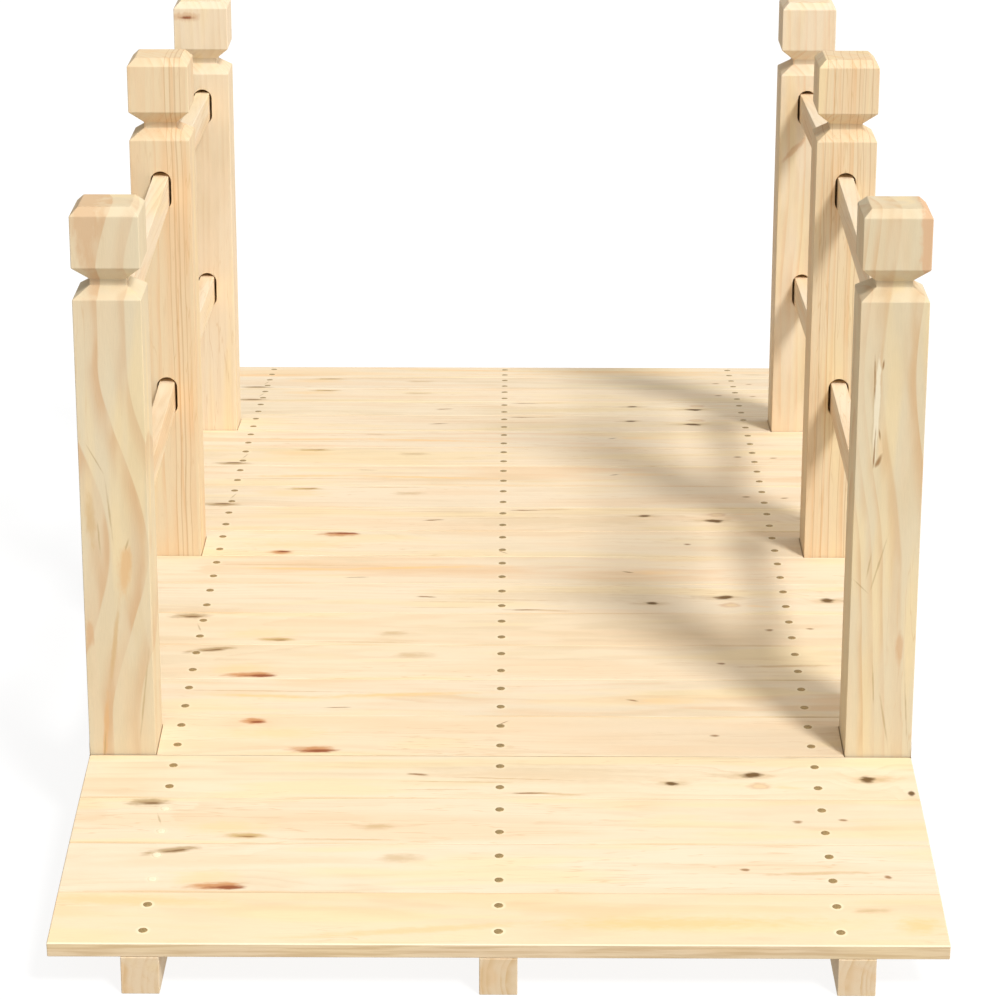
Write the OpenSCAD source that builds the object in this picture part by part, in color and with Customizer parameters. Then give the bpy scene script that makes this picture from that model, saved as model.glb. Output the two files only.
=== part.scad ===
// Garden footbridge: a low arched deck of cross boards on three stringers,
// with three square posts and two rails along each side.
// X runs across the deck, Y along the bridge and Z up from the ground.
// The origin is on the ground, under the middle of the bridge.
// Left is -X, right is +X, near is -Y and far is +Y.

/* [Bridge] */
// Length over the ends of the deck
bridge_l = 1500; // [1200:10:2400]
// Width of the deck, which is also the width over the posts
deck_w = 670; // [400:10:1200]
// Height of the middle of the deck above its ends
deck_rise = 50; // [20:1:150]
// Clearance left where one piece of wood rests on or lies against another
seat_gap = 0.2; // [0.1:0.05:0.5]

/* [Deck boards] */
// Number of deck boards
board_n = 21; // [20:1:30]
// Thickness of a deck board
board_t = 12; // [8:0.5:25]
// Gap between neighbouring deck boards
board_gap = 0.8; // [0.5:0.1:5]
// Bevel along the top edges of a deck board
board_bevel = 0.7; // [0.2:0.1:2]
// Gap between a post and the deck boards around it
notch_gap = 0.5; // [0.3:0.1:2]

/* [Stringers] */
// Thickness of a stringer
stringer_t = 28.5; // [20:0.5:45]
// Depth of a stringer at its ends
stringer_end_d = 30; // [25:1:60]
// Height of the arch under a stringer at mid span
arch_rise = 28; // [10:1:40]
// Length of the flat foot at each end of a stringer
foot_l = 110; // [60:5:250]

/* [Posts] */
// Width of a square post
post_w = 54; // [36:1:80]
// Height of an end post above the deck at its foot
end_post_reach = 455; // [400:1:800]
// Height of a middle post above the deck at its foot
middle_post_reach = 468; // [400:1:800]
// Number of deck boards in front of the near posts
near_post_joint = 4; // [2:1:5]
// Number of deck boards in front of the middle posts
middle_post_joint = 10; // [9:1:11]
// Number of deck boards in front of the far posts
far_post_joint = 16; // [15:1:17]

/* [Post caps] */
// Height of the straight part of a cap
cap_h = 41.5; // [20:0.5:60]
// Bevel around the top of a cap
cap_bevel = 6.5; // [2:0.5:12]
// Height of the slope under a cap
cap_base_h = 11.5; // [4:0.5:20]
// Width of the square neck under a cap
neck_w = 29; // [18:1:34]
// Height of the straight part of the neck
neck_h = 5; // [2:0.5:10]
// Height of the sloping shoulder under the neck
shoulder_h = 9; // [4:0.5:15]

/* [Rails] */
// Width of a rail
rail_w = 14; // [8:0.5:24]
// Depth of a rail, from its underside to its top
rail_d = 28; // [16:1:45]
// Gap between a rail and each side of its slot
slot_side_gap = 2.25; // [0.5:0.25:4]
// Depth of the blind slots in the end posts
slot_depth = 28; // [15:1:34]
// Gap between the end of a rail and the back of its slot
rail_end_gap = 2; // [1:0.5:5]
// Drop from the top of an end post to the middle of its upper slot
end_slot_drop = 107.5; // [90:0.5:140]
// Drop from the top of a middle post to the middle of its upper slot
middle_slot_drop = 120; // [90:0.5:140]
// Height from the middle of a lower slot to the middle of the slot above it
slot_spacing = 193; // [60:1:220]

/* [Hidden] */
$fn = 96;
// Many sides for the long shallow arcs of the stringers
arc_fn = 1440;
// What a cutting shape reaches past the face that it cuts
past = 1;

SIDES = ["left", "centre", "right"];
PLACES = ["near", "middle", "far"];
LEVELS = ["lower", "upper"];
BAYS = ["near", "far"];

// The deck's top follows a circular arc through its two ends and its crown.
deck_end_z = stringer_end_d + board_t;
deck_r = (pow(bridge_l / 2, 2) + pow(deck_rise, 2)) / (2 * deck_rise);
deck_axis_z = deck_end_z + deck_rise - deck_r;
deck_half_angle = asin(bridge_l / 2 / deck_r);
board_angle = 2 * deck_half_angle / board_n;
board_w = 2 * deck_r * tan(board_angle / 2) - board_gap;

// A stringer ends under the lower edge of the last board.
stringer_half_l = (deck_r - board_t) * sin(deck_half_angle);
arch_half_l = stringer_half_l - foot_l;
arch_r = (pow(arch_half_l, 2) + pow(arch_rise, 2)) / (2 * arch_rise);
arch_axis_z = arch_rise - arch_r;
stringer_x = deck_w / 2 - post_w - seat_gap - stringer_t / 2;

post_x = (deck_w - post_w) / 2;
post_joints = [near_post_joint, middle_post_joint, far_post_joint];
post_reach = [end_post_reach, middle_post_reach, end_post_reach];
slot_drop = [end_slot_drop, middle_slot_drop, end_slot_drop];

// A rail's lower corners rest on the round end of its slot, this high above the slot's lowest point.
slot_w = rail_w + 2 * slot_side_gap;
corner_lift = slot_w / 2 - sqrt(pow(slot_w / 2, 2) - pow(rail_w / 2, 2));
steepest = max(abs(rail_slope(0)), abs(rail_slope(1)));
// The slots leave room for the rail's climb inside the post.
slot_h = rail_d * sqrt(1 + pow(steepest, 2)) + steepest * max(slot_depth, post_w / 2)
    + 2 * corner_lift + 2 * seat_gap;

function board_name(i) = str("deck_board_", i < 10 ? "0" : "", i);
function stringer_name(s) = str("stringer_", SIDES[s]);
function post_name(s, p) = str("post_", SIDES[s], "_", PLACES[p]);
function rail_name(s, level, bay) = str("rail_", SIDES[s], "_", LEVELS[level], "_", BAYS[bay]);

// Direction of a side along X: -1 for left, 0 for centre and 1 for right
function side_x(s) = s - 1;

// Height of the deck's top above a place along the bridge
function deck_top_z(y) = deck_axis_z + sqrt(pow(deck_r, 2) - pow(y, 2));

// Height of a stringer's arched underside above a place along the bridge
function underside_z(y) = arch_axis_z + sqrt(pow(arch_r, 2) - pow(y, 2));

// Place along the bridge of a joint between two boards, at a given distance from the deck's axis
function joint_y(joint, r) = r * sin(joint * board_angle - deck_half_angle);

// A post's near face stands just clear of the board in front of it, at its top and at its underside.
function post_y(p) = max(joint_y(post_joints[p], deck_r), joint_y(post_joints[p], deck_r - board_t))
    - board_gap / 2 + notch_gap + post_w / 2;
function post_top_z(p) = deck_top_z(post_y(p)) + post_reach[p];
function slot_z(p, level) = post_top_z(p) - slot_drop[p] - (1 - level) * slot_spacing;

// Each bay's rails run from its end post, 0 or 2, to the middle post, 1.
function end_post(bay) = 2 * bay;
// Direction from a bay's end post to the middle post
function inward(bay) = 1 - 2 * bay;

// Places along a rail: its end in the end post, that post's face, the middle post's face
// and its end in the middle post
function rail_outer_y(bay) = end_face_y(bay) - inward(bay) * (slot_depth - rail_end_gap);
function end_face_y(bay) = post_y(end_post(bay)) + inward(bay) * post_w / 2;
function middle_face_y(bay) = post_y(1) - inward(bay) * post_w / 2;
function rail_inner_y(bay) = post_y(1) - inward(bay) * rail_end_gap / 2;

// A rail rests where it is lowest in each of its two slots.
function rail_rise(bay) = slot_z(1, 1) - slot_z(end_post(bay), 1);
function outer_seat_y(bay) = rail_rise(bay) > 0 ? rail_outer_y(bay) : end_face_y(bay);
function inner_seat_y(bay) = rail_rise(bay) > 0 ? middle_face_y(bay) : rail_inner_y(bay);
function rail_slope(bay) = rail_rise(bay) / abs(inner_seat_y(bay) - outer_seat_y(bay));
function rail_bottom_z(bay, level, y) = slot_z(end_post(bay), level) - slot_h / 2 + corner_lift
    + seat_gap + rail_slope(bay) * inward(bay) * (y - outer_seat_y(bay));

// Turns an outline drawn in X and Y upright: its x runs along Y or X, and its y runs up.
module upright_along_y(width) {
    rotate([90, 0, 90])
        linear_extrude(width, center = true)
            children();
}

module upright_along_x(width) {
    rotate([90, 0, 0])
        linear_extrude(width, center = true)
            children();
}

// A rectangle with its top at 0 and its two upper corners bevelled
module bevelled_outline(width, height, bevel) {
    polygon([
        [-width / 2, -height],
        [width / 2, -height],
        [width / 2, -bevel],
        [width / 2 - bevel, 0],
        [-width / 2 + bevel, 0],
        [-width / 2, -bevel]
    ]);
}

// A deck board lies square to the arc, and is notched where a post stands through it.
module deck_board(i) {
    color("#ecd5a6")
        difference() {
            translate([0, 0, deck_axis_z])
                rotate([deck_half_angle - (i - 0.5) * board_angle, 0, 0])
                    translate([0, 0, deck_r])
                        board_blank();
            for (p = [0:2], s = [0, 2])
                if (i > post_joints[p])
                    post_clearance(s, p);
        }
}

module board_blank() {
    intersection() {
        upright_along_y(deck_w + 2 * past)
            bevelled_outline(board_w, board_t, board_bevel);
        upright_along_x(board_w + 2 * past)
            bevelled_outline(deck_w, board_t, board_bevel);
    }
}

module post_clearance(s, p) {
    inner_w = post_w + notch_gap;
    translate([side_x(s) * (post_x + (past - notch_gap) / 2), post_y(p), deck_top_z(post_y(p))])
        cube([inner_w + past, post_w + 2 * notch_gap, 4 * board_t], center = true);
}

// A stringer carries the boards on its arched top, and stands on a flat foot at each end.
module stringer(s) {
    color("#dcc092")
        translate([side_x(s) * stringer_x, 0, 0])
            upright_along_y(stringer_t)
                stringer_outline();
}

module stringer_outline() {
    difference() {
        intersection() {
            translate([-stringer_half_l, 0])
                square([2 * stringer_half_l, deck_end_z + deck_rise]);
            translate([0, deck_axis_z])
                circle(deck_r - board_t - seat_gap, $fn = arc_fn);
        }
        translate([0, arch_axis_z])
            circle(arch_r, $fn = arc_fn);
    }
}

// A post stands against the outside of a stringer and ends level with its underside.
module post(s, p) {
    color("#e3cda2")
        translate([side_x(s) * post_x, post_y(p), 0])
            difference() {
                intersection() {
                    upright_along_x(post_w + 2 * past)
                        post_outline(underside_z(post_y(p)), post_top_z(p));
                    upright_along_y(post_w + 2 * past)
                        post_outline(underside_z(post_y(p)), post_top_z(p));
                }
                for (level = [0, 1])
                    translate([0, 0, slot_z(p, level)])
                        post_slot(p);
            }
}

// The outline is the same from the side and from the end: a shaft, a shoulder, a neck and a cap.
module post_outline(bottom_z, top_z) {
    cap_top_z = top_z - cap_bevel;
    cap_low_z = cap_top_z - cap_h;
    neck_top_z = cap_low_z - cap_base_h;
    neck_low_z = neck_top_z - neck_h;
    right_edge = [
        [post_w / 2, bottom_z],
        [post_w / 2, neck_low_z - shoulder_h],
        [neck_w / 2, neck_low_z],
        [neck_w / 2, neck_top_z],
        [post_w / 2, cap_low_z],
        [post_w / 2, cap_top_z],
        [post_w / 2 - cap_bevel, top_z]
    ];
    last = len(right_edge) - 1;
    left_edge = [for (k = [last:-1:0]) [-right_edge[k][0], right_edge[k][1]]];
    polygon(concat(right_edge, left_edge));
}

// A middle post's slots go right through it. An end post's are blind, and open towards the middle.
module post_slot(p) {
    cut_l = p == 1 ? post_w + 2 * past : slot_depth + past;
    centre_y = (1 - p) * (post_w / 2 + past - cut_l / 2);
    translate([0, centre_y, 0])
        upright_along_x(cut_l)
            slot_outline();
}

module slot_outline() {
    straight_h = slot_h - slot_w;
    square([slot_w, straight_h], center = true);
    for (end = [-1, 1])
        translate([0, end * straight_h / 2])
            circle(d = slot_w);
}

// A rail is a straight bar with plumb ends.
module rail(s, level, bay) {
    upright_d = rail_d * sqrt(1 + pow(rail_slope(bay), 2));
    outer_y = rail_outer_y(bay);
    inner_y = rail_inner_y(bay);
    outer_z = rail_bottom_z(bay, level, outer_y);
    inner_z = rail_bottom_z(bay, level, inner_y);
    color("#e8cf9d")
        translate([side_x(s) * post_x, 0, 0])
            upright_along_y(rail_w)
                polygon([
                    [outer_y, outer_z],
                    [inner_y, inner_z],
                    [inner_y, inner_z + upright_d],
                    [outer_y, outer_z + upright_d]
                ]);
}

for (i = [1:board_n])
    deck_board(i);
for (s = [0:2])
    stringer(s);
for (s = [0, 2], p = [0:2])
    post(s, p);
for (s = [0, 2], level = [0, 1], bay = [0, 1])
    rail(s, level, bay);
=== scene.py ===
import math

import bmesh
import bpy
from mathutils import Euler, Matrix, Vector


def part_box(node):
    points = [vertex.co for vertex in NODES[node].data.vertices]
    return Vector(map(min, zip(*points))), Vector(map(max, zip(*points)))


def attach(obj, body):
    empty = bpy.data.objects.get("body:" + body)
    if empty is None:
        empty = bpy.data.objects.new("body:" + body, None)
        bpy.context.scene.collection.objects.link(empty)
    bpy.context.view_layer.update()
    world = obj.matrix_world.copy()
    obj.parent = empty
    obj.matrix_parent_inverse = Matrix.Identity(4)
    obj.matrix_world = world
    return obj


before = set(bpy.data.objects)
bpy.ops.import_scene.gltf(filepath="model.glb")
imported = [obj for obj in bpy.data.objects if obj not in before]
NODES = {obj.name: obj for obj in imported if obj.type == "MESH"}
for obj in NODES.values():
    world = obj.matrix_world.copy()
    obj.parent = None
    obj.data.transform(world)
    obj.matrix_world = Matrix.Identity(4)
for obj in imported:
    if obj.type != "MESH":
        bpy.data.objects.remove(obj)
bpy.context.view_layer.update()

# The bridge runs along Y, and its deck boards lie across it along X. All lengths are in metres,
# except inside the wood materials, which work in centimetres measured along and across the grain.
MM = 0.001
CM = 0.01

BOARDS = sorted(name for name in NODES if name.startswith("deck_board"))
STRINGERS = sorted(name for name in NODES if name.startswith("stringer"))
POSTS = sorted(name for name in NODES if name.startswith("post"))
RAILS = sorted(name for name in NODES if name.startswith("rail"))


def srgb(red, green, blue):
    """A colour given as 0 to 255 display values, as linear RGBA."""
    def linear(value):
        value /= 255
        return value / 12.92 if value <= 0.04045 else ((value + 0.055) / 1.055) ** 2.4
    return (linear(red), linear(green), linear(blue), 1.0)


def blend(first, second, share):
    """The colour that lies the given share of the way from the first to the second."""
    return tuple(a + (b - a) * share for a, b in zip(first, second))


# Wood colours
CREAM = srgb(235, 216, 187)
PALE = srgb(243, 226, 199)
WARM = srgb(238, 214, 179)
MID_CREAM = srgb(230, 208, 172)
GREY_CREAM = srgb(223, 207, 175)
PEACH = srgb(231, 196, 153)
YELLOW = srgb(240, 216, 166)
TAN = srgb(209, 172, 122)
ORANGE = srgb(222, 172, 116)
GREY_TAN = srgb(206, 184, 142)

# Colours of wear, dirt and saw marks, and of painted light: a painted highlight round the nails, a
# painted highlight on the front board's outer arris and painted shade on the other boards' outer arrises
DENT_HIGHLIGHT = srgb(252, 240, 205)
DENT = srgb(186, 156, 104)
JOINT_DUST = srgb(204, 168, 120)
ARRIS_HIGHLIGHT = srgb(250, 238, 208)
ARRIS_SHADE = srgb(216, 186, 142)
SAWN_SIDE = srgb(196, 162, 114)
SAWN_END = srgb(196, 160, 110)
DARK_RING = srgb(186, 138, 88)

WHITE = (1.0, 1.0, 1.0, 1.0)

# ---------------------------------------------------------------- shader helpers


class Tree:
    """Adds nodes to one shader tree and wires them together."""

    def __init__(self, tree):
        self.tree = tree

    def feed(self, socket, value):
        if isinstance(value, bpy.types.NodeSocket):
            self.tree.links.new(value, socket)
        else:
            socket.default_value = value

    def add(self, kind, inputs=None, **settings):
        node = self.tree.nodes.new("ShaderNode" + kind)
        for name, value in settings.items():
            setattr(node, name, value)
        for key, value in (inputs or {}).items():
            self.feed(node.inputs[key], value)
        return node

    def math(self, operation, *values, clamp=False):
        node = self.add("Math", dict(enumerate(values)), operation=operation, use_clamp=clamp)
        return node.outputs[0]

    def vector(self, operation, *values):
        node = self.add("VectorMath", dict(enumerate(values)), operation=operation)
        return node.outputs["Value" if operation in ("LENGTH", "DOT_PRODUCT") else "Vector"]

    def mix(self, factor, first, second, mode="MIX"):
        node = self.add("Mix", data_type="RGBA", blend_type=mode, clamp_factor=True)
        self.feed(node.inputs[0], factor)
        self.feed(node.inputs[6], first)
        self.feed(node.inputs[7], second)
        return node.outputs[2]

    def fade(self, value, low, high, start=0.0, end=1.0):
        """A smooth step of value from start, at low, to end, at high."""
        node = self.add("MapRange", {0: value, 1: low, 2: high, 3: start, 4: end},
                        interpolation_type="SMOOTHSTEP")
        return node.outputs[0]

    def noise(self, vector, detail=2.0, roughness=0.5, scale=1.0):
        node = self.add("TexNoise", {"Vector": vector, "Scale": scale, "Detail": detail,
                                     "Roughness": roughness})
        return node.outputs["Fac"]

    def group(self, group, inputs):
        node = self.add("Group", node_tree=group)
        for key, value in inputs.items():
            self.feed(node.inputs[key], value)
        return node


def new_material(name):
    """A new material, with its tree and its shader."""
    material = bpy.data.materials.new(name)
    material.use_nodes = True
    return material, Tree(material.node_tree), material.node_tree.nodes["Principled BSDF"]


def new_group(name, inputs, outputs):
    """An empty node group, with its tree, what it is given and what it makes."""
    group = bpy.data.node_groups.new(name, "ShaderNodeTree")
    for way, sockets in (("INPUT", inputs), ("OUTPUT", outputs)):
        for socket, kind in sockets:
            group.interface.new_socket(socket, in_out=way, socket_type="NodeSocket" + kind)
    tree = Tree(group)
    source = group.nodes.new("NodeGroupInput")
    sink = group.nodes.new("NodeGroupOutput")
    return group, tree, source.outputs, sink.inputs


def growth_rings(t, given, slow, quick):
    """How strongly latewood shows: rings about a pith, which wander along the grain."""
    wander = t.math("MULTIPLY_ADD", t.math("SUBTRACT", slow, 0.5), given["Wander"],
                    t.math("MULTIPLY", t.math("SUBTRACT", quick, 0.5), 0.3))
    from_pith = t.vector("MULTIPLY", t.vector("ADD", given["Grain"], given["Pith"]), (0.0, 1.0, 1.0))
    radius = t.math("ADD", t.math("ADD", t.vector("LENGTH", from_pith), wander), given["Push"])
    rings = t.math("DIVIDE", radius, given["Ring width"])
    uneven = t.add("TexNoise", {"W": t.math("MULTIPLY_ADD", rings, 0.45, given["Seed"]),
                                "Scale": 1.0, "Detail": 0.0}, noise_dimensions="1D").outputs["Fac"]
    rings = t.math("MULTIPLY_ADD", uneven, 1.4, rings)
    phase = t.math("FRACT", rings)
    # Each ring darkens slowly, then stops at a sharp edge.
    latewood = t.math("MULTIPLY", t.fade(phase, 0.3, 0.95), t.fade(phase, 0.95, 1.0, 1.0, 0.0))
    which = t.add("TexWhiteNoise", {"W": t.math("ADD", t.math("FLOOR", rings), given["Seed"])},
                  noise_dimensions="1D").outputs["Value"]
    strength = t.math("MULTIPLY_ADD", which, 0.75, 0.25)
    along = t.fade(quick, 0.35, 0.62, 0.35, 1.0)
    return t.math("MULTIPLY", t.math("MULTIPLY", latewood, strength),
                  t.math("MULTIPLY", along, given["Contrast"]), clamp=True)


def tinted_ground(t, given, slow, quick, patches):
    """The wood's colour between its rings: warm streaks, yellow patches and grey smudges."""
    warm = t.math("MULTIPLY", t.fade(patches, 0.50, 0.66), given["Warmth"])
    colour = t.mix(warm, given["Base"], given["Streak"])
    pale = t.math("MULTIPLY", t.fade(patches, 0.48, 0.34), 0.5)
    colour = t.mix(pale, colour, YELLOW)
    smudge = t.math("MULTIPLY", t.fade(slow, 0.50, 0.36), t.fade(quick, 0.42, 0.60, 0.25, 0.75))
    return t.mix(t.math("MULTIPLY", smudge, 0.32), colour, GREY_TAN)


def make_pine_group():
    """Softwood in the round: growth rings about a pith, wandering along the grain, over fine fibres.

    Grain is in centimetres, with X along the fibres. Pith moves the rings' centre off the piece, and
    Push moves the rings out or in.
    """
    group, t, given, made = new_group(
        "pine",
        [("Grain", "Vector"), ("Pith", "Vector"), ("Seed", "Float"), ("Push", "Float"),
         ("Ring width", "Float"), ("Wander", "Float"), ("Contrast", "Float"), ("Warmth", "Float"),
         ("Base", "Color"), ("Late", "Color"), ("Streak", "Color")],
        [("Color", "Color"), ("Height", "Float"), ("Patches", "Float")])
    shift = t.add("CombineXYZ", {0: t.math("MULTIPLY", given["Seed"], 37.0),
                                 1: t.math("MULTIPLY", given["Seed"], 5.3),
                                 2: t.math("MULTIPLY", given["Seed"], 9.1)}).outputs[0]
    seeded = t.vector("ADD", given["Grain"], shift)

    def stretched(along, across):
        return t.vector("MULTIPLY", seeded, (along, across, across))

    slow = t.noise(stretched(0.035, 0.12), 1.0)
    quick = t.noise(stretched(0.15, 0.8), 1.0)
    patches = t.noise(stretched(0.04, 0.34))
    lines = t.noise(stretched(0.08, 1.5))
    fibres = t.noise(stretched(1.0, 20.0), 2.0, 0.65)

    colour = tinted_ground(t, given, slow, quick, patches)
    colour = t.mix(growth_rings(t, given, slow, quick), colour, given["Late"])
    line = t.fade(t.math("ABSOLUTE", t.math("SUBTRACT", lines, 0.5)), 0.0, 0.018, 1.0, 0.0)
    line = t.math("MULTIPLY", line, t.fade(slow, 0.42, 0.66))
    colour = t.mix(t.math("MULTIPLY", line, 0.40), colour, TAN)
    tone = t.math("MULTIPLY_ADD", fibres, 0.13, 0.935)
    shade = t.add("CombineColor", {0: tone, 1: tone, 2: tone}).outputs[0]
    t.feed(made["Color"], t.mix(1.0, colour, shade, "MULTIPLY"))
    t.feed(made["Height"], fibres)
    t.feed(made["Patches"], patches)
    return group


# How wide the band is that a mark's outline strays within, as a share of the mark's half length
RAGGEDNESS = 0.9


def make_knot_group():
    """How far a point is from a mark's middle, in shares of its half lengths and half breadth."""
    group, t, given, made = new_group(
        "knot",
        [("Grain", "Vector"), ("Ragged", "Float"), ("Along", "Float"), ("Across", "Float"),
         ("Left", "Float"), ("Right", "Float"), ("Half breadth", "Float"), ("Tilt", "Float")],
        [("Distance", "Float")])
    parts = t.add("SeparateXYZ", {0: given["Grain"]}).outputs
    along = t.math("SUBTRACT", parts[0], given["Along"])
    reach = t.math("MAXIMUM", t.math("DIVIDE", along, given["Right"]),
                   t.math("DIVIDE", t.math("MULTIPLY", along, -1.0), given["Left"]))
    across = t.math("SUBTRACT", parts[1], t.math("MULTIPLY_ADD", along, given["Tilt"], given["Across"]))
    across = t.math("DIVIDE", across, given["Half breadth"])
    apart = t.vector("LENGTH", t.add("CombineXYZ", {0: reach, 1: across}).outputs[0])
    t.feed(made["Distance"], t.math("MULTIPLY_ADD", given["Ragged"], RAGGEDNESS, apart))
    return group


PINE = make_pine_group()
KNOT = make_knot_group()

# What a mark looks like: its colour, how strongly it shows, and where it starts and stops fading,
# as shares of its half length
MARKS = {
    "halo": (srgb(243, 206, 150), 0.5, 0.1, 1.0),
    "red": (srgb(196, 132, 78), 0.85, 0.3, 1.0),
    "red core": (srgb(138, 70, 36), 0.9, 0.2, 1.0),
    "grey": (srgb(172, 142, 98), 0.85, 0.25, 1.0),
    "grey core": (srgb(120, 88, 54), 0.8, 0.1, 1.0),
    "brown": (srgb(196, 162, 100), 0.8, 0.2, 1.0),
    "dark": (srgb(104, 74, 34), 0.95, 0.35, 1.0),
    "smoke": (srgb(196, 164, 114), 0.55, 0.1, 1.0),
    "pink": (srgb(208, 166, 124), 0.6, 0.4, 1.0),
    "pale": (srgb(232, 206, 164), 0.8, 0.5, 1.0),
    "line": (srgb(150, 108, 62), 0.85, 0.2, 1.0),
    "torn": (srgb(240, 229, 202), 0.85, 0.6, 1.0),
    "patch": (srgb(218, 174, 134), 0.75, 0.7, 1.0),
    "grain": (srgb(206, 170, 118), 0.6, 0.2, 1.0),
    "amber": (srgb(220, 176, 124), 0.7, 0.3, 1.0),
    "seam": (srgb(178, 150, 104), 0.55, 0.1, 1.0),
    "warm": (srgb(240, 200, 140), 0.75, 0.1, 1.0),
    "peach": (srgb(243, 203, 154), 0.85, 0.2, 1.0),
    "haze": (srgb(206, 178, 132), 0.28, 0.1, 1.0),
    "dent": (srgb(188, 164, 124), 0.7, 0.2, 1.0),
}

# Rings swell round the marks that are knots, by this share of the knot's half breadth.
KNOTS = ("red", "grey", "dark")
KNOT_SWELL = 0.9
# The wood's gloss, its least roughness and how much its patches add
WOOD_GLOSS = 0.28
WOOD_ROUGHNESS = 0.47
PATCH_ROUGHNESS = 0.3
# How strongly the fibres stand out, and by how much
FIBRE_RELIEF = 0.25
FIBRE_HEIGHT = 0.3 * MM
# How much darker sawn ends are. A post's bevelled cap counts as an end too, but is sanded.
END_DUST = 0.35
POST_END_DUST = 0.08
# How strongly the dark rings on the middle posts show
DARK_RING_STRENGTH = 0.42


class Wood:
    """One piece's wood material: where its grain runs, and how its rings, streaks and knots look.

    A bow is (place along the grain, reach, amount), and pushes the rings out or in round that place.
    """

    def __init__(self, name, origin, turn, seed, pith, ring, wander, contrast, warmth=0.6,
                 base=CREAM, late=TAN, streak=PEACH, marks=(), bows=(), lean=0.0):
        self.material, self.t, self.shader = new_material(name)
        self.seed = seed
        t = self.t
        place = t.add("TexCoord").outputs["Object"]
        # Texture mapping undoes the piece's own place, turn and scale, in that order.
        self.grain = t.add("Mapping", {"Vector": place, "Location": origin, "Rotation": turn,
                                       "Scale": (CM, CM, CM)}, vector_type="TEXTURE").outputs[0]
        self.parts = t.add("SeparateXYZ", {0: self.grain}).outputs
        distances = self.mark_distances(marks)
        push = self.ring_push(bows, lean, marks, distances)
        pine = t.group(PINE, {"Grain": self.grain, "Pith": pith, "Seed": seed, "Push": push,
                              "Ring width": ring, "Wander": wander, "Contrast": contrast,
                              "Warmth": warmth, "Base": base, "Late": late, "Streak": streak})
        self.colour = pine.outputs["Color"]
        self.height = pine.outputs["Height"]
        self.patches = pine.outputs["Patches"]
        for distance, mark in zip(distances, marks):
            colour, strength, inner, outer = MARKS[mark[0]]
            self.cover(t.fade(distance, inner, outer, strength, 0.0), colour)

    def mark_distances(self, marks):
        """A mark is (style, along, across, half length left, half length right, half breadth, tilt)."""
        if not marks:
            return []
        t = self.t
        blotch = t.noise(t.vector("MULTIPLY", self.grain, (0.9, 2.8, 2.8)))
        ragged = t.math("SUBTRACT", blotch, 0.5)
        names = ("Along", "Across", "Left", "Right", "Half breadth", "Tilt")
        knots = [dict(zip(names, mark[1:]), Grain=self.grain, Ragged=ragged) for mark in marks]
        return [t.group(KNOT, knot).outputs["Distance"] for knot in knots]

    def ring_push(self, bows, lean, marks, distances):
        """How far the rings are moved out at a point, by the tree's lean, its bows and its knots."""
        t = self.t
        push = t.math("MULTIPLY", self.parts[0], lean)
        for centre, reach, amount in bows:
            away = t.math("ABSOLUTE", t.math("SUBTRACT", self.parts[0], centre))
            push = t.math("ADD", push, t.fade(away, 0.0, reach, amount, 0.0))
        for distance, mark in zip(distances, marks):
            style, half_breadth = mark[0], mark[5]
            if style in KNOTS:
                push = t.math("ADD", push, t.fade(distance, 0.8, 4.5, half_breadth * KNOT_SWELL, 0.0))
        return push

    def cover(self, mask, colour):
        self.colour = self.t.mix(mask, self.colour, colour)

    def dark_ring(self, place, half_width):
        """A narrow dark line along the grain, a little wavy."""
        t = self.t
        sway = t.noise(t.vector("MULTIPLY", self.grain, (0.12, 0.2, 0.2)), 1.0)
        away = t.math("SUBTRACT", self.parts[1], t.math("MULTIPLY_ADD", sway, 0.5, place - 0.25))
        ring = t.fade(t.math("ABSOLUTE", away), 0.0, half_width, DARK_RING_STRENGTH, 0.0)
        self.cover(ring, DARK_RING)

    def end_grain(self, turn, amount=END_DUST):
        """Sawn ends soak up dust and show darker than the sides."""
        t = self.t
        along = Euler(turn).to_matrix() @ Vector((1.0, 0.0, 0.0))
        facing = t.vector("DOT_PRODUCT", t.add("NewGeometry").outputs["True Normal"], along)
        end = t.fade(t.math("ABSOLUTE", facing), 0.75, 0.98)
        self.cover(t.math("MULTIPLY", end, amount), SAWN_END)

    def finish(self):
        """Wires up the shader, and gives back the material."""
        t = self.t
        t.feed(self.shader.inputs["Base Color"], self.colour)
        self.shader.inputs["Specular IOR Level"].default_value = WOOD_GLOSS
        t.feed(self.shader.inputs["Roughness"],
               t.math("MULTIPLY_ADD", self.patches, PATCH_ROUGHNESS, WOOD_ROUGHNESS))
        relief = t.add("Bump", {"Strength": FIBRE_RELIEF, "Distance": FIBRE_HEIGHT,
                                "Height": self.height})
        t.feed(self.shader.inputs["Normal"], relief.outputs[0])
        return self.material


ARRIS = 0.7 * MM
WELD_GAP = 0.001 * MM


def dress(name, material, least_turn=35.0):
    """Gives a CAD node its material, and rounds each edge whose faces turn at least so many degrees."""
    node = NODES[name]
    node.data.materials.clear()
    node.data.materials.append(material)
    weld = node.modifiers.new("weld", "WELD")
    weld.merge_threshold = WELD_GAP
    flat = node.modifiers.new("flat", "DECIMATE")
    flat.decimate_type = "DISSOLVE"
    flat.angle_limit = math.radians(0.1)
    bevel = node.modifiers.new("arris", "BEVEL")
    bevel.width = ARRIS
    bevel.segments = 2
    bevel.limit_method = "ANGLE"
    bevel.angle_limit = math.radians(least_turn)
    bevel.use_clamp_overlap = False
    bevel.harden_normals = True


# ---------------------------------------------------------------- deck boards

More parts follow.
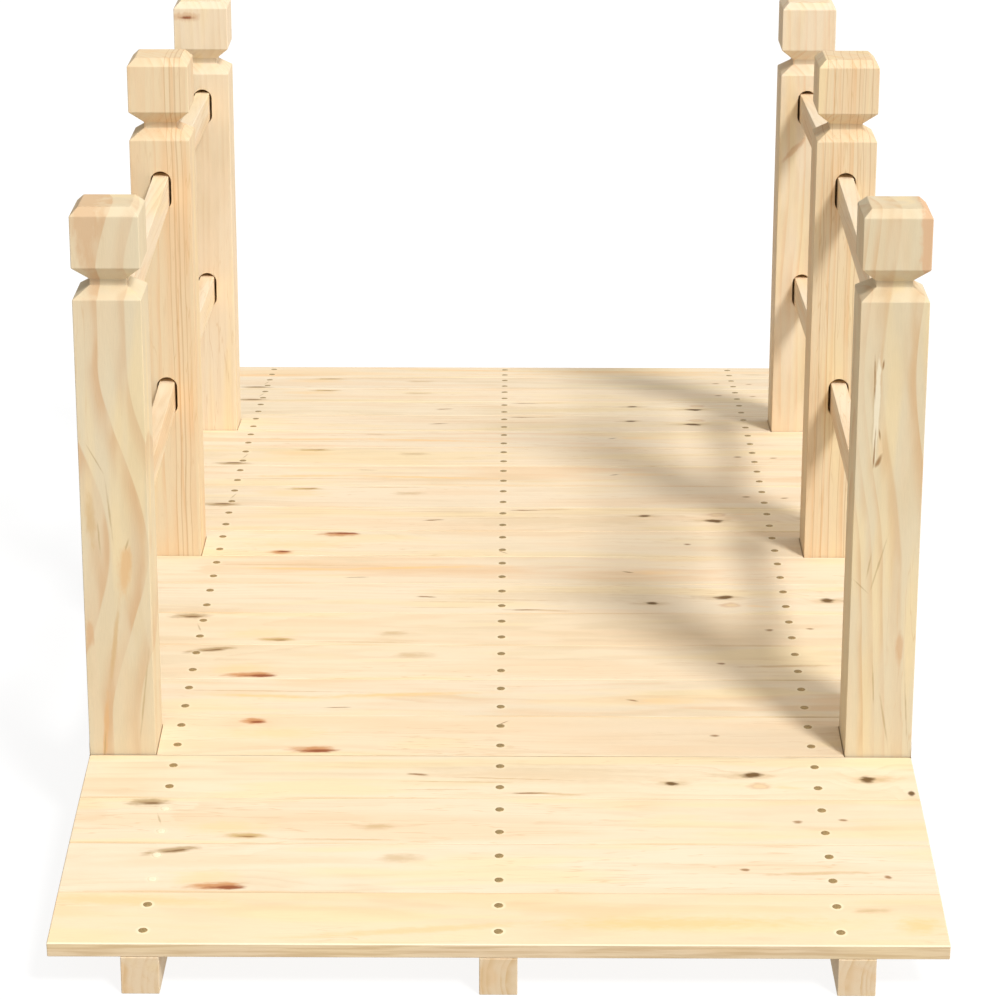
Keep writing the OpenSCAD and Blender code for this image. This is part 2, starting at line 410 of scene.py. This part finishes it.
# Marks as (style, along, across, half length left, half length right, half breadth, tilt), in
# centimetres from the board's middle. Across is positive away from the near end on the boards of the
# near half, and towards it on the others.
BOARD_MARKS = {
    "clear": [
        ("peach", -5.0, -1.5, 15.0, 10.0, 0.6, 0.11), ("peach", -29.5, 2.4, 9.0, 13.0, 1.0, -0.03),
        ("warm", 12.0, -0.6, 12.0, 18.0, 1.3, 0.02), ("smoke", 28.0, 1.2, 1.8, 2.4, 0.5, 0.05),
        ("warm", 31.5, -0.8, 2.5, 2.5, 1.6, 0.0)],
    "spike a": [
        ("halo", -23.0, -1.6, 3.5, 4.5, 1.6, 0.1),
        ("grey", -25.3, 2.5, 3.2, 2.6, 0.62, 0.22), ("grey core", -25.0, 2.45, 1.8, 1.4, 0.22, 0.22),
        ("red", -21.2, -2.75, 3.8, 2.1, 0.75, 0.04), ("red core", -20.6, -2.95, 2.6, 1.4, 0.42, 0.02),
        ("line", 18.8, -0.2, 0.55, 0.4, 0.3, 0.0), ("line", 29.6, -1.2, 0.4, 0.35, 0.36, -0.3),
        ("smoke", -8.0, 1.4, 2.4, 2.8, 0.9, 0.0), ("grain", 24.0, -0.7, 5.0, 6.0, 0.35, 0.05)],
    "spike b": [
        ("halo", -21.5, -1.2, 4.5, 5.5, 1.5, 0.05),
        ("grey", -27.7, 2.8, 2.3, 2.3, 0.8, 0.03), ("grey core", -27.4, 2.6, 1.5, 1.3, 0.3, 0.05),
        ("brown", -19.5, -2.45, 2.7, 2.1, 0.6, 0.0), ("line", -19.3, -2.6, 1.2, 0.9, 0.22, 0.0),
        ("grain", -12.0, -3.0, 5.6, 6.0, 0.2, -0.012), ("dent", -26.6, 0.1, 0.3, 0.3, 0.45, -3.2),
        ("line", 23.7, -0.1, 0.6, 0.5, 0.34, 0.0), ("line", 27.4, 0.25, 0.55, 0.5, 0.24, -0.1),
        ("smoke", -9.5, -1.0, 2.0, 2.4, 0.8, 0.0)],
    "pin": [
        ("haze", 3.0, 0.6, 13.0, 18.0, 2.4, -0.02),
        ("line", -6.8, 0.35, 1.2, 1.3, 0.26, -0.14), ("grain", 0.0, -0.3, 6.0, 8.0, 0.14, -0.05),
        ("grain", -3.0, -0.9, 7.0, 6.0, 0.12, -0.02), ("grain", -5.0, -2.2, 6.0, 4.0, 0.12, 0.02),
        ("smoke", 13.6, -1.1, 2.2, 2.2, 0.7, 0.0), ("dark", 13.6, -1.1, 0.7, 0.75, 0.38, 0.0),
        ("smoke", 20.2, 0.35, 4.0, 2.6, 0.8, 0.0), ("dark", 20.3, 0.35, 1.3, 1.0, 0.62, 0.05),
        ("pink", 20.7, -1.5, 1.3, 1.2, 0.72, 0.0), ("pale", 20.7, -1.5, 0.75, 0.75, 0.42, 0.0),
        ("halo", 23.0, -1.7, 1.8, 2.2, 0.35, -0.08),
        ("smoke", 29.5, -0.4, 2.0, 3.2, 0.9, 0.05), ("dark", 29.4, -0.3, 0.8, 0.8, 0.8, 0.0),
        ("dark", 32.8, -2.6, 0.35, 0.35, 0.6, 0.2),
        ("line", 2.2, -2.75, 2.3, 2.3, 0.22, 0.0), ("grain", 4.6, -2.9, 2.4, 2.6, 0.3, -0.08)],
    "brown": [
        ("halo", -18.0, 0.4, 9.0, 6.0, 1.6, 0.0),
        ("red", -20.5, 2.55, 1.6, 1.5, 0.72, 0.0), ("red core", -20.3, 2.4, 0.9, 0.9, 0.3, 0.0),
        ("red", -15.0, -2.55, 3.0, 2.0, 0.8, 0.0), ("red core", -14.6, -2.8, 2.6, 1.6, 0.4, 0.0),
        ("line", 17.6, 0.1, 0.5, 0.5, 0.3, 0.0), ("line", 0.0, 2.2, 0.25, 0.9, 0.14, 0.9)],
    "flame": [
        ("warm", -20.0, 0.2, 7.0, 10.0, 0.5, -0.05), ("warm", -9.0, 0.5, 8.0, 12.0, 0.55, 0.06),
        ("grain", -22.0, 1.2, 7.0, 14.0, 0.16, -0.02), ("halo", 13.5, -0.6, 2.5, 5.0, 0.9, 0.0),
        ("line", 11.4, -0.5, 0.7, 0.6, 0.22, -0.3), ("line", -13.5, -2.0, 1.6, 1.4, 0.1, 0.05)],
}
# Which kind each board is, from the near end
BOARD_KINDS = ("clear", "spike a", "spike b", "pin", "brown", "flame", "spike a", "spike b", "pin",
               "flame", "brown", "pin", "spike b", "flame", "spike b", "flame", "pin", "pin",
               "spike b", "spike b", "clear")
BOARD_LOOKS = {
    "clear": dict(pith=(0.0, 2.0, 7.0), ring=1.1, contrast=0.3, warmth=0.4, base=WARM,
                  streak=srgb(243, 205, 150)),
    "spike": dict(pith=(0.0, -2.0, 6.0), ring=0.6, contrast=0.22, warmth=0.30),
    "pin": dict(pith=(0.0, 4.0, 9.0), ring=0.45, contrast=0.27, warmth=0.28),
    "brown": dict(pith=(0.0, -3.0, 5.0), ring=0.6, contrast=0.22, warmth=0.34),
    "flame": dict(pith=(0.0, 0.5, 4.5), ring=0.9, contrast=0.3, warmth=0.5, late=ORANGE),
}
BOARD_TINTS = (srgb(238, 215, 180), srgb(236, 219, 192), srgb(234, 214, 184), srgb(238, 220, 188),
               srgb(239, 214, 178), srgb(232, 214, 186), srgb(238, 217, 184))
# Where the lines of nails run, and how far a nail is from its board's middle, in board breadths
NAIL_LINES = (-265 * MM, 0.0, 255 * MM)
NAIL_INSET = 0.25
# Where the dent under a nail and the painted highlight round it fade, in centimetres from the nail's
# middle
DENT_FADE = 0.28, 0.40
DENT_HIGHLIGHT_FADE = 0.40, 0.66
# How strongly the painted highlights round the nails show, on the front board and on the others
FRONT_DENT_HIGHLIGHT = 0.45
OTHER_DENT_HIGHLIGHT = 0.18


def span(name):
    """A CAD node's lowest and highest corner."""
    low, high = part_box(name)
    return Vector(low), Vector(high)


def upward(name):
    """The direction that a board's top face looks."""
    faces = [face for face in NODES[name].data.polygons if face.normal.z > 0.9]
    return max(faces, key=lambda face: face.area).normal.copy()


MIDDLE_LOW, MIDDLE_HIGH = span(BOARDS[len(BOARDS) // 2])
BOARD_THICK = MIDDLE_HIGH.z - MIDDLE_LOW.z
BOARD_BREADTH = MIDDLE_HIGH.y - MIDDLE_LOW.y


class Board:
    """A deck board's place: the middle of its top face, and the directions along its slope and up."""

    def __init__(self, name):
        low, high = span(name)
        self.name = name
        self.up = upward(name)
        self.slope = Vector((1.0, 0.0, 0.0)).cross(self.up) * -1.0
        self.top = (low + high) / 2 + self.up * (BOARD_THICK / 2)
        self.tilt = math.atan2(self.slope.z, self.slope.y)

    def at(self, along, across):
        return self.top + Vector((along, 0.0, 0.0)) + self.slope * across


def nail_marks(wood, highlight):
    """The dent under each nail, and a painted highlight round it."""
    t = wood.t
    nearest = None
    for line in NAIL_LINES:
        gap = t.math("ABSOLUTE", t.math("SUBTRACT", wood.parts[0], line / CM))
        nearest = gap if nearest is None else t.math("MINIMUM", nearest, gap)
    inset = BOARD_BREADTH * NAIL_INSET / CM
    across = t.math("SUBTRACT", t.math("ABSOLUTE", wood.parts[1]), inset)
    away = t.vector("LENGTH", t.add("CombineXYZ", {0: nearest, 1: across}).outputs[0])
    top = t.fade(wood.parts[2], -0.2, -0.1)
    # Painted highlight: a pale ring round each nail.
    wood.cover(t.math("MULTIPLY", t.fade(away, *DENT_HIGHLIGHT_FADE, highlight, 0.0), top), DENT_HIGHLIGHT)
    dent = t.math("MULTIPLY", t.fade(away, *DENT_FADE, 1.0, 0.0), top)
    wood.cover(t.math("MULTIPLY", dent, 0.6), DENT)
    wood.height = t.math("MULTIPLY_ADD", dent, -2.0, wood.height)


def joint_dust_and_arris_light(wood, front):
    """Dust lies in parts along each joint. The outer arris gets painted light instead: a painted
    highlight on the front board, and patches of painted shade on the others that dim the light their
    bevels catch.
    """
    t = wood.t
    half = BOARD_BREADTH / 2 / CM
    along = t.vector("MULTIPLY", wood.grain, (0.06, 0.0, 0.0))
    patchy = t.noise(t.vector("ADD", along, (wood.seed * 3.1, 0.0, 0.0)), 1.0)
    wood.cover(t.math("MULTIPLY", t.fade(wood.parts[1], half - 0.20, half - 0.05),
                      t.fade(patchy, 0.40, 0.62, 0.32, 0.05)), JOINT_DUST)
    arris = t.math("MULTIPLY", t.fade(wood.parts[1], -half + 0.04, -half + 0.14, 1.0, 0.0),
                   t.fade(wood.parts[2], -0.12, -0.06))
    if front:
        # Painted highlight along the front board's outer arris.
        wood.cover(t.math("MULTIPLY", arris, 0.7), ARRIS_HIGHLIGHT)
    else:
        # Painted shade in patches along the other boards' outer arris, dimming the light their bevels
        # catch.
        wood.cover(t.math("MULTIPLY", arris, t.fade(patchy, 0.38, 0.54, 0.6, 0.0)), ARRIS_SHADE)


def sawn_sides(wood):
    """A board's sides and underside are left rough from the saw, so they are darker and streaky."""
    t = wood.t
    below = t.fade(wood.parts[2], -0.16, -0.06, 1.0, 0.0)
    streak = t.noise(t.vector("MULTIPLY", wood.grain, (0.12, 1.1, 3.2)), 3.0, 0.6)
    wood.cover(t.math("MULTIPLY", below, t.fade(streak, 0.42, 0.62, 0.1, 0.55)), SAWN_SIDE)


def board_marks(number):
    """The marks of a board's kind, moved a little so that no two boards are alike."""
    flip = 1.0 if number < len(BOARDS) // 2 else -1.0
    marks = []
    for k, mark in enumerate(BOARD_MARKS[BOARD_KINDS[number]]):
        style, along, across, left, right, half_breadth, tilt = mark
        nudge = 0.25 * math.sin(number * 2.3) + 0.05 * math.sin(number + 1.9 * k)
        marks.append((style, along + nudge, flip * across, left, right, half_breadth, flip * tilt))
    return marks


def board_material(number, board):
    turn = (board.tilt, 0.0, 0.0)
    looks = dict(BOARD_LOOKS[BOARD_KINDS[number].split()[0]])
    tint = BOARD_TINTS[number % len(BOARD_TINTS)]
    looks["base"] = blend(looks.get("base", CREAM), tint, 0.5)
    # Towards the far end the boards are a little paler.
    looks["base"] = blend(looks["base"], PALE, number / len(BOARDS) * 0.5)
    wood = Wood(board.name + "_pine", board.top, turn, seed=1.7 + number * 2.13,
                marks=board_marks(number), wander=1.5 + 0.5 * math.sin(number * 1.7), **looks)
    nail_marks(wood, FRONT_DENT_HIGHLIGHT if number == 0 else OTHER_DENT_HIGHLIGHT)
    joint_dust_and_arris_light(wood, front=number == 0)
    sawn_sides(wood)
    wood.end_grain(turn)
    return wood.finish()


def dress_deck():
    for number, board in enumerate(DECK):
        dress(board.name, board_material(number, board), least_turn=60.0)


DECK = [Board(name) for name in BOARDS]
dress_deck()

# ---------------------------------------------------------------- posts, rails and stringers

# Turns that lay the wood's own X, its fibres, along the piece
ALONG_Z = Matrix(((0, 1, 0), (0, 0, 1), (1, 0, 0))).to_euler()
ALONG_Y = Matrix(((0, 0, 1), (1, 0, 0), (0, 1, 0))).to_euler()

# Marks are placed up the post and then across its front, in centimetres from the post's middle.
POST_LOOKS = {
    "post_left_near": dict(
        pith=(0.0, 9.0, 1.0), ring=2.5, wander=0.7, contrast=0.72, warmth=0.2, base=GREY_CREAM,
        late=srgb(206, 162, 118), bows=[(-2.0, 15.0, -3.2), (27.0, 6.0, -1.2)],
        marks=[("pink", 25.0, -1.5, 4.5, 3.5, 1.5, 0.0),
               ("amber", -3.0, 0.8, 4.4, 1.2, 0.75, 0.09), ("seam", 1.0, -0.4, 3.4, 3.4, 0.12, -0.09),
               ("seam", 5.3, -1.35, 1.6, 1.6, 0.10, -0.53), ("seam", -1.9, 0.9, 0.5, 0.7, 0.12, 0.3),
               ("grain", 0.2, -1.9, 3.2, 2.9, 0.6, -0.04), ("seam", -1.2, -1.3, 1.8, 1.9, 0.11, -0.05),
               ("pink", -9.5, -2.3, 1.5, 1.5, 0.4, 0.0), ("grain", -10.0, -0.3, 4.8, 4.4, 0.3, 0.14),
               ("amber", -17.4, -1.25, 4.5, 4.2, 0.3, 0.08), ("seam", -19.5, -1.45, 1.5, 2.2, 0.1, 0.08),
               ("seam", -15.0, 1.9, 5.5, 5.2, 0.12, 0.12)]),
    "post_right_near": dict(
        pith=(0.0, 9.0, 1.0), ring=1.5, wander=1.2, contrast=0.75, warmth=0.3, base=GREY_CREAM,
        late=srgb(208, 168, 122), bows=[(12.0, 16.0, 1.6)], lean=0.04,
        marks=[("pink", -10.4, 1.4, 2.0, 1.6, 0.42, 0.0), ("seam", -15.6, 2.1, 4.2, 4.0, 0.11, -0.07),
               ("seam", -5.2, -1.9, 0.8, 0.8, 0.12, -1.0), ("seam", -3.2, -0.5, 3.0, 3.0, 0.11, 0.27),
               ("seam", -3.4, -1.3, 1.4, 1.4, 0.10, 0.17), ("seam", -13.8, -0.6, 2.6, 2.4, 0.09, -0.06),
               ("seam", -16.7, 0.35, 3.4, 3.2, 0.12, -0.18), ("patch", 23.6, 2.75, 4.5, 5.0, 1.15, 0.0),
               ("dent", 9.8, -1.2, 5.6, 5.0, 0.42, 0.02), ("torn", 9.8, -1.15, 5.2, 4.6, 0.27, 0.02),
               ("line", 5.6, -1.25, 1.2, 3.2, 0.10, 0.03), ("line", 12.4, -1.4, 2.4, 2.2, 0.09, -0.03),
               ("line", 13.4, -0.75, 0.7, 0.6, 0.12, 0.1), ("line", 7.6, -0.85, 0.8, 0.6, 0.08, -0.1),
               ("pale", 6.2, -0.75, 0.9, 1.2, 0.22, -0.1), ("line", 5.2, -0.95, 0.5, 0.9, 0.24, 0.4)]),
    "post_left_middle": dict(pith=(0.0, 6.0, 6.0), ring=0.8, wander=0.5, contrast=0.45, warmth=0.5,
                             base=MID_CREAM, late=ORANGE),
    "post_right_middle": dict(pith=(0.0, 6.0, 6.0), ring=0.6, wander=0.7, contrast=0.5, warmth=0.5,
                              base=MID_CREAM, late=ORANGE),
    "post_left_far": dict(
        pith=(0.0, 4.0, 5.0), ring=0.7, wander=1.0, contrast=0.3, warmth=0.3,
        marks=[("pink", 24.3, -1.5, 0.6, 0.6, 1.9, -0.1),
               ("red core", 24.2, -1.4, 0.2, 0.3, 1.0, -0.1)]),
    "post_right_far": dict(pith=(0.0, 4.0, 5.0), ring=0.7, wander=2.0, contrast=0.5, warmth=0.5,
                           late=ORANGE, marks=[("pink", 10.7, -1.2, 1.7, 1.7, 0.5, 0.9)]),
}
# Narrow dark rings that run up the middle posts' fronts: place and half width, in centimetres
DARK_RINGS = {
    "post_left_middle": ((0.65, 0.06), (1.1, 0.09), (1.5, 0.12), (1.95, 0.06)),
    "post_right_middle": ((-1.9, 0.07), (-1.2, 0.05), (-0.5, 0.07), (0.3, 0.05), (1.0, 0.08),
                          (1.5, 0.05), (2.1, 0.09)),
}


def long_piece(name, turn, seed, **looks):
    """The wood of a piece whose grain is measured from the middle of its box."""
    low, high = span(name)
    return Wood(name + "_pine", (low + high) / 2, turn, seed=seed, **looks)


def dress_posts():
    for k, name in enumerate(POSTS):
        wood = long_piece(name, ALONG_Z, 3.1 + 1.9 * k, **POST_LOOKS[name])
        for place, half_width in DARK_RINGS.get(name, ()):
            wood.dark_ring(place, half_width)
        wood.end_grain(ALONG_Z, POST_END_DUST)
        dress(name, wood.finish())


def dress_rails():
    for k, name in enumerate(RAILS):
        wood = long_piece(name, ALONG_Y, 40.0 + 2.7 * k, pith=(0.0, 5.0, -4.0), ring=0.4, wander=0.6,
                          contrast=0.4)
        wood.end_grain(ALONG_Y)
        dress(name, wood.finish())


def dress_stringers():
    for k, name in enumerate(STRINGERS):
        wood = long_piece(name, ALONG_Y, 70.0 + 3.3 * k, pith=(0.0, 3.0, -5.0), ring=0.55, wander=1.0,
                          contrast=0.7)
        wood.end_grain(ALONG_Y)
        dress(name, wood.finish())


dress_posts()
dress_rails()
dress_stringers()

# ---------------------------------------------------------------- nails and screws

NAIL_R = 3.4 * MM
NAIL_PROUD = 0.35 * MM
NAIL_SIDES = 20
# Nail head outline as (share of the radius, share of the height above the board)
NAIL_PROFILE = [(1.0, -1.0), (1.0, 0.35), (0.9, 0.8), (0.6, 0.95), (0.0, 1.0)]
# Boards, counted from 0 at the near end, whose left nails are covered with putty
FILLED_BOARDS = (1, 2)

SCREW_R = 5.0 * MM
SCREW_PROUD = 0.4 * MM
# How high a screw is above its post's lower end, and how far from the post's middle, in post widths
SCREW_LIFT = 18.0 * MM
SCREW_INSET = 0.25
# Screw head outline, with the bit's socket sunk in its middle
SCREW_PROFILE = [(1.0, -1.0), (1.0, 0.3), (0.92, 1.0), (0.42, 1.0), (0.34, -2.5), (0.0, -3.0)]


def filler_material():
    """Putty over the nails that were sunk too deep."""
    material, t, shader = new_material("nail_filler")
    grains = t.noise(t.add("TexCoord").outputs["Object"], 2.0, 0.6, 700.0)
    t.feed(shader.inputs["Base Color"], t.mix(grains, srgb(250, 240, 214), srgb(226, 206, 166)))
    t.feed(shader.inputs["Roughness"], t.math("MULTIPLY_ADD", grains, 0.3, 0.6))
    return material


def steel_material():
    """Dull steel, tanned in patches by damp."""
    material, t, shader = new_material("nail_steel")
    mottle = t.noise(t.add("TexCoord").outputs["Object"], 3.0, 0.6, 900.0)
    colour = t.mix(t.fade(mottle, 0.35, 0.7), srgb(192, 166, 118), srgb(158, 130, 84))
    t.feed(shader.inputs["Base Color"], colour)
    shader.inputs["Metallic"].default_value = 0.55
    t.feed(shader.inputs["Roughness"], t.math("MULTIPLY_ADD", mottle, 0.3, 0.35))
    return material


def add_turned(mesh, centre, axis, profile, radius, height, sides):
    """Adds a round head to a bmesh: profile turned about axis, closed at its middle."""
    turn = axis.to_track_quat("Z", "Y").to_matrix()
    rings = []
    for share, level in profile:
        if share == 0.0:
            rings.append([mesh.verts.new(centre + turn @ Vector((0.0, 0.0, level * height)))])
            continue
        ring = []
        for k in range(sides):
            angle = 2 * math.pi * k / sides
            spoke = Vector((math.cos(angle), math.sin(angle), 0.0)) * radius * share
            ring.append(mesh.verts.new(centre + turn @ (spoke + Vector((0.0, 0.0, level * height)))))
        rings.append(ring)
    for lower, upper in zip(rings, rings[1:]):
        for k in range(sides):
            after = (k + 1) % sides
            if len(upper) == 1:
                mesh.faces.new((lower[k], lower[after], upper[0]))
            else:
                mesh.faces.new((lower[k], lower[after], upper[after], upper[k]))
    if len(rings[0]) > 1:
        mesh.faces.new(list(reversed(rings[0])))


def add_object(name, data):
    item = bpy.data.objects.new(name, data)
    bpy.context.scene.collection.objects.link(item)
    return item


def add_piece(name, mesh, material):
    """Turns a bmesh into a smooth-shaded piece of the bridge."""
    data = bpy.data.meshes.new(name)
    mesh.normal_update()
    mesh.to_mesh(data)
    mesh.free()
    for face in data.polygons:
        face.use_smooth = True
    data.materials.append(material)
    piece = add_object(name, data)
    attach(piece, "root")


def make_nails(steel):
    """Two nails to a board in each line, with putty over a few on the left."""
    filled = bmesh.new()
    for line, x in zip(("left", "centre", "right"), NAIL_LINES):
        heads = bmesh.new()
        for number, board in enumerate(DECK):
            mesh = filled if line == "left" and number in FILLED_BOARDS else heads
            for side in (-1, 1):
                centre = board.at(x, side * NAIL_INSET * BOARD_BREADTH)
                add_turned(mesh, centre, board.up, NAIL_PROFILE, NAIL_R, NAIL_PROUD, NAIL_SIDES)
        add_piece("nails_" + line, heads, steel)
    add_piece("nail_filler", filled, filler_material())


def make_post_screws(steel):
    """Two screws through the stringer into each post, driven from the inner side."""
    heads = bmesh.new()
    for name in POSTS:
        post_low, post_high = span(name)
        side = -1.0 if "left" in name else 1.0
        stringer_low, stringer_high = span("stringer_left" if side < 0 else "stringer_right")
        face = stringer_high.x if side < 0 else stringer_low.x
        middle = (post_low.y + post_high.y) / 2
        for along in (-SCREW_INSET, SCREW_INSET):
            y = middle + along * (post_high.y - post_low.y)
            centre = Vector((face, y, post_low.z + SCREW_LIFT))
            inward = Vector((-side, 0.0, 0.0))
            add_turned(heads, centre, inward, SCREW_PROFILE, SCREW_R, SCREW_PROUD, NAIL_SIDES)
    add_piece("post_screws", heads, steel)


STEEL = steel_material()
make_nails(STEEL)
make_post_screws(STEEL)

# ---------------------------------------------------------------- floor, light and camera

# Half the length of the floor's sides
FLOOR_HALF = 30.0
FLOOR_GREY = (0.15, 0.15, 0.15, 1.0)
FLOOR_GLOW = 0.88
# Each light as the direction towards it, its strength and its breadth in degrees
KEY_LIGHT = (0.368, -0.573, 0.731), 2.42, 12.0
SIDE_LIGHT = (0.82, 0.0, 0.57), 0.77, 30.0
SKY_COLOUR = (1.0, 0.985, 0.96, 1.0)
# The sky's strength at the horizon, overhead and from below, and the way in which it grows
SKY_LOW, SKY_TOP, SKY_BELOW = 0.40, 0.61, 0.62
SKY_LEAN = (0.30, -0.14, 0.0)
# The camera looks along the bridge and down. Turns are in radians, sensor and lens in millimetres.
CAMERA_PLACE = (0.0107, -3.0569, 1.1732)
CAMERA_YAW, CAMERA_PITCH, CAMERA_ROLL = 0.0043, 0.3273, -0.0014
CAMERA_SENSOR, CAMERA_LENS = 36.0, 123.9


def make_floor():
    """A pale floor that glows, so that it looks as white as the sky."""
    mesh = bmesh.new()
    corners = [(-1, -1), (1, -1), (1, 1), (-1, 1)]
    mesh.faces.new([mesh.verts.new((x * FLOOR_HALF, y * FLOOR_HALF, 0.0)) for x, y in corners])
    data = bpy.data.meshes.new("floor")
    mesh.to_mesh(data)
    mesh.free()
    floor = add_object("floor", data)
    material, _, shader = new_material("floor_white")
    shader.inputs["Base Color"].default_value = FLOOR_GREY
    shader.inputs["Roughness"].default_value = 0.9
    shader.inputs["Specular IOR Level"].default_value = 0.0
    shader.inputs["Emission Color"].default_value = WHITE
    shader.inputs["Emission Strength"].default_value = FLOOR_GLOW
    data.materials.append(material)
    # The floor shows and takes shadows, but the sky alone lights the bridge from below.
    floor.visible_diffuse = False
    floor.visible_glossy = False


def make_sun(name, towards, strength, breadth):
    light = bpy.data.lights.new(name, "SUN")
    light.energy = strength
    light.angle = math.radians(breadth)
    lamp = add_object(name, light)
    lamp.rotation_euler = Vector(towards).to_track_quat("Z", "Y").to_euler()


def make_world():
    """A soft sky, brightest overhead, that fills the shadows and shows as plain white."""
    world = bpy.data.worlds.new("studio")
    bpy.context.scene.world = world
    world.use_nodes = True
    world.cycles.sampling_method = "NONE"
    world.node_tree.nodes.clear()
    t = Tree(world.node_tree)
    direction = t.add("TexCoord").outputs["Generated"]
    height = t.add("SeparateXYZ", {0: direction}).outputs[2]
    sky = t.fade(height, 0.0, 1.0, SKY_LOW, SKY_TOP)
    ground = t.fade(height, -0.05, 0.0, SKY_BELOW, 0.0)
    lean = t.math("ADD", 1.0, t.vector("DOT_PRODUCT", direction, SKY_LEAN))
    strength = t.math("MULTIPLY", lean, t.math("MAXIMUM", sky, ground))
    fill = t.add("Background", {"Color": SKY_COLOUR, "Strength": strength}).outputs[0]
    backdrop = t.add("Background", {"Color": WHITE, "Strength": 1.0}).outputs[0]
    seen = t.add("LightPath").outputs["Is Camera Ray"]
    shown = t.add("MixShader", {0: seen, 1: fill, 2: backdrop}).outputs[0]
    t.feed(t.add("OutputWorld").inputs["Surface"], shown)


def make_camera():
    data = bpy.data.cameras.new("camera")
    data.sensor_width = CAMERA_SENSOR
    data.lens = CAMERA_LENS
    camera = add_object("camera", data)
    camera.location = CAMERA_PLACE
    camera.rotation_euler = (Matrix.Rotation(CAMERA_YAW, 3, "Z")
                             @ Matrix.Rotation(math.pi / 2 - CAMERA_PITCH, 3, "X")
                             @ Matrix.Rotation(-CAMERA_ROLL, 3, "Z")).to_euler()
    bpy.context.scene.camera = camera


make_floor()
make_world()
make_sun("key_light", *KEY_LIGHT)
make_sun("side_light", *SIDE_LIGHT)
make_camera()
bpy.context.scene.view_settings.view_transform = "Standard"
